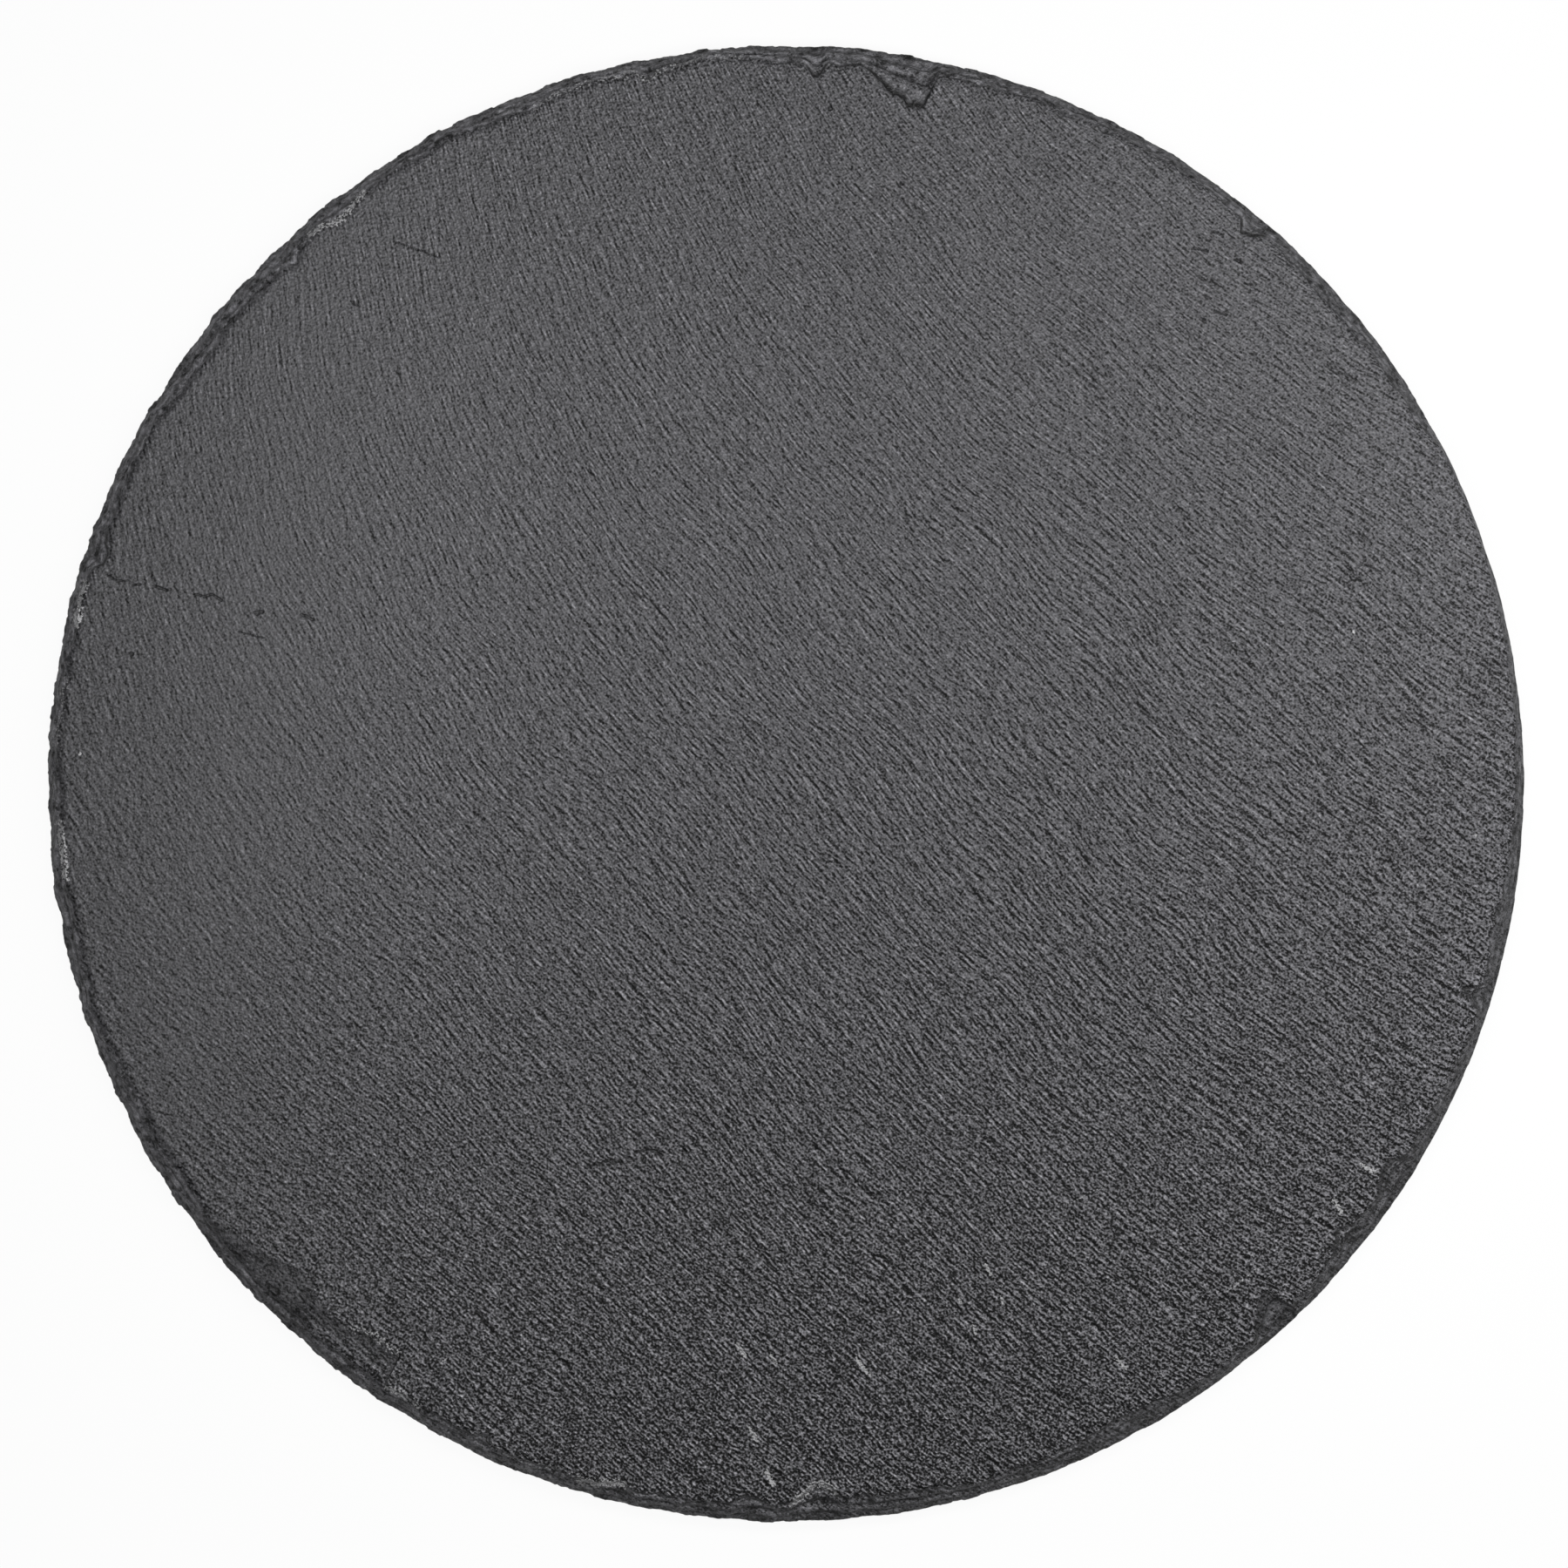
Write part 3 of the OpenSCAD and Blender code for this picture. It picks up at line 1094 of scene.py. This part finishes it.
    def _scar_top(self, bm: bmesh.types.BMesh) -> None:
        """Cuts the cracks, pits, scratches and specks into a finer mesh round them.

        Args:
            bm: The slab's mesh.
        """
        bm.faces.ensure_lookup_table()
        faces = seen_from_above([face.calc_center_median() for face in bm.faces])
        close = {i for mark in FACE_MARKS for i in mark.surroundings(faces, self.MARK_REACH)}
        edges = dict.fromkeys(e for i in sorted(close) for e in bm.faces[i].edges if not e.is_boundary)
        bmesh.ops.subdivide_edges(bm, edges=list(edges), cuts=self.MARK_CUTS, use_grid_fill=True)
        bm.verts.ensure_lookup_table()
        points = seen_from_above([v.co for v in bm.verts])
        layers = {kind: bm.verts.layers.float[kind.value] for kind in SurfaceMark}
        noise.seed_set(self.JAG_SEED)
        for mark in FACE_MARKS:
            for i in mark.surroundings(points, self.SCAR_REACH):
                v = bm.verts[i]
                if v.is_boundary:
                    continue
                jag = noise.noise_vector(v.co / self.JAG_LENGTH) * self.JAG_MM
                strength = mark.strength_at(v.co.x / MM + jag.x, v.co.y / MM + jag.y)
                v[layers[mark.kind]] = max(v[layers[mark.kind]], strength)
                if mark.kind is SurfaceMark.CRACKED:
                    v.co.z = min(v.co.z, self.top - self.crack_depth * strength)

    def _next_ring(
        self, bm: bmesh.types.BMesh, place: Callable[[int], Vector]
    ) -> list[bmesh.types.BMVert]:
        """Extrudes the open edge of the mesh and puts the new ring in place.

        Args:
            bm: The mesh, open along one loop.
            place: Gives a point's place from its number round the rim.

        Returns:
            The new ring's points.
        """
        open_edges = [e for e in bm.edges if e.is_boundary]
        made = bmesh.ops.extrude_edge_only(bm, edges=open_edges)["geom"]
        ring = [g for g in made if isinstance(g, bmesh.types.BMVert)]
        for v in ring:
            v.co = place(self.rim_index(v.co))
        return ring

    def _spot(self, i: int, ring: int) -> Vector:
        """Gives a rim point's place on one of the rings."""
        return polar(i * 360 / self.rim_points, *self.profiles[i][ring])

    def _break_at(self, place: Vector, ring: int) -> tuple[float, float]:
        """Tells how the stone of the rim looks at a place.

        Args:
            place: The place.
            ring: The number of its ring.

        Returns:
            How broken it is, and its painted shade against the face (painted light below 0), as shares.
        """
        angle, index = angle_of(place), self.stages[ring][1]
        chip = self.chip_in(angle, lambda c: 1.0)
        floor = smooth_share(chip, 0.8 * MM, 3 * MM) if index < FLOOR_END else 0.0
        wall = smooth_share(self.wall_run(angle), 0.1 * MM, 0.5 * MM)
        wide = self.scooped(angle)
        # Painted shade and light of the ring, with more painted shade on the walls of the chips and in the
        # scoops, mottled at random
        tone = RING_TONES[ring]
        if index < WALL_END:
            tone -= wall * (WALL_SHADE + WALL_SHADE_BACK * place.y / self.radius)
        if index < SCOOP_END:
            tone += wide * (SCOOP_TONE + SCOOP_TONE_RIGHT * place.x / self.radius - tone)
        mottle = noise.noise(polar(angle, self.radius / (4.0 * MM), 40.1 + index))
        if index < 2 * LAST_RISER:
            tone = 1 + (tone - 1) * max(wall, smooth_share(mottle, -0.35, 0.3))
        broken = 1 - floor * (0.7 - 0.45 * (wide if index > WALL_END else wall))
        return broken, 1 - tone * (1 + 0.35 * mottle)

    def _shape_rim(self, bm: bmesh.types.BMesh) -> None:
        """Steps the mesh down the knapped rim, from the crest line to the lip.

        Args:
            bm: The slab's mesh.
        """
        edge = [e for e in bm.edges if e.is_boundary]
        bmesh.ops.bisect_edges(bm, edges=edge, cuts=self.rim_cuts)
        for v in bm.verts:
            if v.is_boundary:
                v.co = self._spot(self.rim_index(v.co), 0)
                v.co.z -= self.relief_at(v.co.x, v.co.y, self.TOP_SEED)
        knapped, shaded = (bm.verts.layers.float[m.value] for m in (SurfaceMark.KNAPPED, SurfaceMark.SHADED))
        for ring in range(1, len(self.stages)):
            for v in self._next_ring(bm, lambda i: self._spot(i, ring)):
                v[knapped], v[shaded] = self._break_at(v.co, ring)

    def _bruise_crest(self, bm: bmesh.types.BMesh) -> None:
        """Marks where the crest line is covered in pale crumbs.

        Args:
            bm: The slab's mesh.
        """
        bruised = bm.verts.layers.float[SurfaceMark.BRUISED.value]
        fade = self.CRUMB_FADE
        for v in bm.verts:
            r = math.hypot(v.co.x, v.co.y)
            if not self.radius - self.chip_reach * 2 <= r <= self.radius - 0.8 * MM:
                continue
            angle = angle_of(v.co)
            crest = self.profiles[self.rim_index(v.co)][0][0]
            end_of_crumbs = self.CRUMB_OUT if r > crest else self.CRUMB_IN
            near = 1 - smooth_share(abs(r - crest), self.CRUMB_CORE, end_of_crumbs)
            window = max(
                share * smooth_share(angle, start, start + fade) * (1 - smooth_share(angle, end - fade, end))
                for start, end, share in BRUISES
            )
            v[bruised] = max(v[bruised], self.CRUMB_SHARE * near * window)

    def _under(self, i: int, radius: float) -> Vector:
        """Gives the place on the underside's plane at a rim point's angle and a radius."""
        return polar(i * 360 / self.rim_points, radius, self.bottom)

    def _shape_underside(self, bm: bmesh.types.BMesh) -> None:
        """Closes the slab with a coarser riven sheet underneath.

        Args:
            bm: The slab's mesh.
        """
        self._next_ring(bm, lambda i: self._under(i, self.profiles[i][-1][0] - self.lower_break))
        count = self.rim_points
        r = self.radius - self.lower_break
        *outer_runs, last_run = self.underside_runs
        for run in outer_runs:
            r -= run
            self._next_ring(bm, lambda i: self._under(i, r))
            self._halve(bm, self.rim_points // count)
            count //= 2
        inner = r - last_run
        rim = self._next_ring(bm, lambda i: self._under(i, inner))
        sheet = self._sheet(bm, count // 4)
        for v, share, angle in sheet:
            v.co = polar(angle, share * inner, self.bottom)
            # The relief ends before the sheet does, so that its hem lies flat on the rim
            flat = smooth_share(share, 0.99, 0.9)
            v.co.z += self.relief_at(v.co.x, v.co.y, self.UNDERSIDE_SEED) * flat
        hem = [v for v, share, _ in sheet if share > 0.999]
        bmesh.ops.remove_doubles(bm, verts=rim + hem, dist=0.01 * MM)

    def _halve(self, bm: bmesh.types.BMesh, step: int) -> None:
        """Takes every second point out of the open loop, whose points are a step of rim points apart."""
        loop = dict.fromkeys(v for e in bm.edges if e.is_boundary for v in e.verts)
        bmesh.ops.dissolve_verts(bm, verts=[v for v in loop if self.rim_index(v.co) // step % 2])

    def build(self) -> bpy.types.Object:
        """Models the slab and dresses it.

        Returns:
            The finished piece.
        """
        bm = bmesh.new()
        for mark in SurfaceMark:
            bm.verts.layers.float.new(mark.value)
        self._shape_top(bm)
        self._scar_top(bm)
        self._shape_rim(bm)
        self._bruise_crest(bm)
        self._shape_underside(bm)
        bmesh.ops.recalc_face_normals(bm, faces=bm.faces)
        piece = finished("slate_slab", bm, self.finish.make())
        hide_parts("slate")
        return piece


def placed(name: str, data: bpy.types.ID) -> bpy.types.Object:
    """Puts a new object in the scene, at the origin.

    Args:
        name: The object's name.
        data: Its mesh, camera or lamp.

    Returns:
        The object.
    """
    made = bpy.data.objects.new(name, data)
    bpy.context.scene.collection.objects.link(made)
    return made


def finished(name: str, bm: bmesh.types.BMesh, material: bpy.types.Material) -> bpy.types.Object:
    """Turns a bmesh into a piece of the object that rides on its body.

    Args:
        name: The piece's name.
        bm: The mesh, which is freed.
        material: The piece's material.

    Returns:
        The new object.
    """
    mesh = bpy.data.meshes.new(name)
    triangles = sum(len(f.verts) - 2 for f in bm.faces)
    open_edges = sum(not e.is_manifold for e in bm.edges)
    bm.to_mesh(mesh)
    bm.free()
    mesh.materials.append(material)
    piece = placed(name, mesh)
    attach(piece, BODY)
    LOG.info("%s: %d points, %d triangles, %d open edges", name, len(mesh.vertices), triangles, open_edges)
    return piece


@dataclass
class StickOnFeet:
    """The four rubber feet and the adhesive discs that hold them."""

    corners: tuple[str, ...] = ("back_right", "back_left", "front_left", "front_right")
    rubber: RubberFinish = field(default_factory=RubberFinish)
    tape: AdhesiveFinish = field(default_factory=AdhesiveFinish)

    def dress(self) -> None:
        """Gives the feet and discs of the frame their finishes."""
        rubber, tape = self.rubber.make(), self.tape.make()
        for corner in self.corners:
            for node, material in ((f"foot_{corner}", rubber), (f"adhesive_{corner}", tape)):
                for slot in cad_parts[node].material_slots:
                    slot.material = material
                LOG.info("%s: dressed", node)


@dataclass
class Studio:
    """A pale floor, soft light from above and the camera over the board."""

    lens: float = 300.0
    sensor: float = 36.0
    centre_px: tuple[float, float] = (902.0, 899.5)
    floor_half: float = 4.0
    floor_grey: float = 0.85
    floor_glow: float = 0.95
    lamp_place: tuple[float, float, float] = (0.212, 0.032, 0.29)
    lamp_sides: tuple[float, float] = (0.65, 0.12)
    lamp_watts: float = 1.73
    fill: float = 0.2

    def stand_camera(self, outline_z: float) -> None:
        """Puts the camera straight above the board.

        Args:
            outline_z: Height of the board's outline, at which the photo's width is measured.
        """
        data = bpy.data.cameras.new("camera")
        data.lens = self.lens
        data.sensor_width = self.sensor
        data.clip_end = 20.0
        camera = placed("camera", data)
        px = PHOTO_WIDTH / PHOTO_PX
        x = (PHOTO_PX / 2 - self.centre_px[0]) * px
        y = (self.centre_px[1] - PHOTO_PX / 2) * px
        camera.location = (x, y, outline_z + PHOTO_WIDTH * self.lens / self.sensor)
        bpy.context.scene.camera = camera

    def lay_floor(self) -> None:
        """Lays a pale floor that keeps the board's shadow."""
        bm = bmesh.new()
        bmesh.ops.create_grid(bm, x_segments=1, y_segments=1, size=self.floor_half)
        mesh = bpy.data.meshes.new("floor")
        bm.to_mesh(mesh)
        bm.free()
        floor = placed("floor", mesh)
        sh = Shader("floor")
        ray = sh.node("ShaderNodeLightPath")
        outputs = ray.socket.node.outputs
        seen = Wire(sh, outputs["Is Camera Ray"]).most(Wire(sh, outputs["Is Glossy Ray"]))
        seen = seen.most(Wire(sh, outputs["Is Transmission Ray"]))
        pale = sh.node("ShaderNodeBsdfDiffuse", None, {"Color": (*[self.floor_grey] * 3, 1)})
        white = sh.node("ShaderNodeEmission", None, {"Color": (1, 1, 1, 1), "Strength": 1.0})
        both = sh.node("ShaderNodeMixShader", None, {0: seen * self.floor_glow, 1: pale, 2: white})
        mesh.materials.append(sh.show(both))

    def light(self) -> None:
        """Hangs a soft box over the far right of the board and fills from all round."""
        data = bpy.data.lights.new("soft_box", "AREA")
        data.shape = "RECTANGLE"
        data.size, data.size_y = self.lamp_sides
        data.energy = self.lamp_watts
        lamp = placed("soft_box", data)
        lamp.location = self.lamp_place
        lamp.visible_camera = False
        world = bpy.data.worlds.new("studio")
        bpy.context.scene.world = world
        world.use_nodes = True
        tree = world.node_tree
        back = tree.nodes["Background"]
        back.inputs["Color"].default_value = (1, 1, 1, 1)
        path = tree.nodes.new("ShaderNodeLightPath")
        level = tree.nodes.new("ShaderNodeMapRange")
        level.inputs["To Min"].default_value = self.fill
        level.inputs["To Max"].default_value = 1.0
        tree.links.new(path.outputs["Is Camera Ray"], level.inputs["Value"])
        tree.links.new(level.outputs[0], back.inputs["Strength"])


def main() -> None:
    """Builds the pieces in order and sets the studio up."""
    logging.basicConfig(level=logging.INFO, format="%(name)s: %(message)s")
    slab = SlateSlab()
    slab.build()
    StickOnFeet().dress()
    studio = Studio()
    studio.lay_floor()
    studio.light()
    studio.stand_camera(slab.bottom + slab.lip_height)
    bpy.context.scene.view_settings.view_transform = "Standard"


if __name__ == "__main__":
    main()
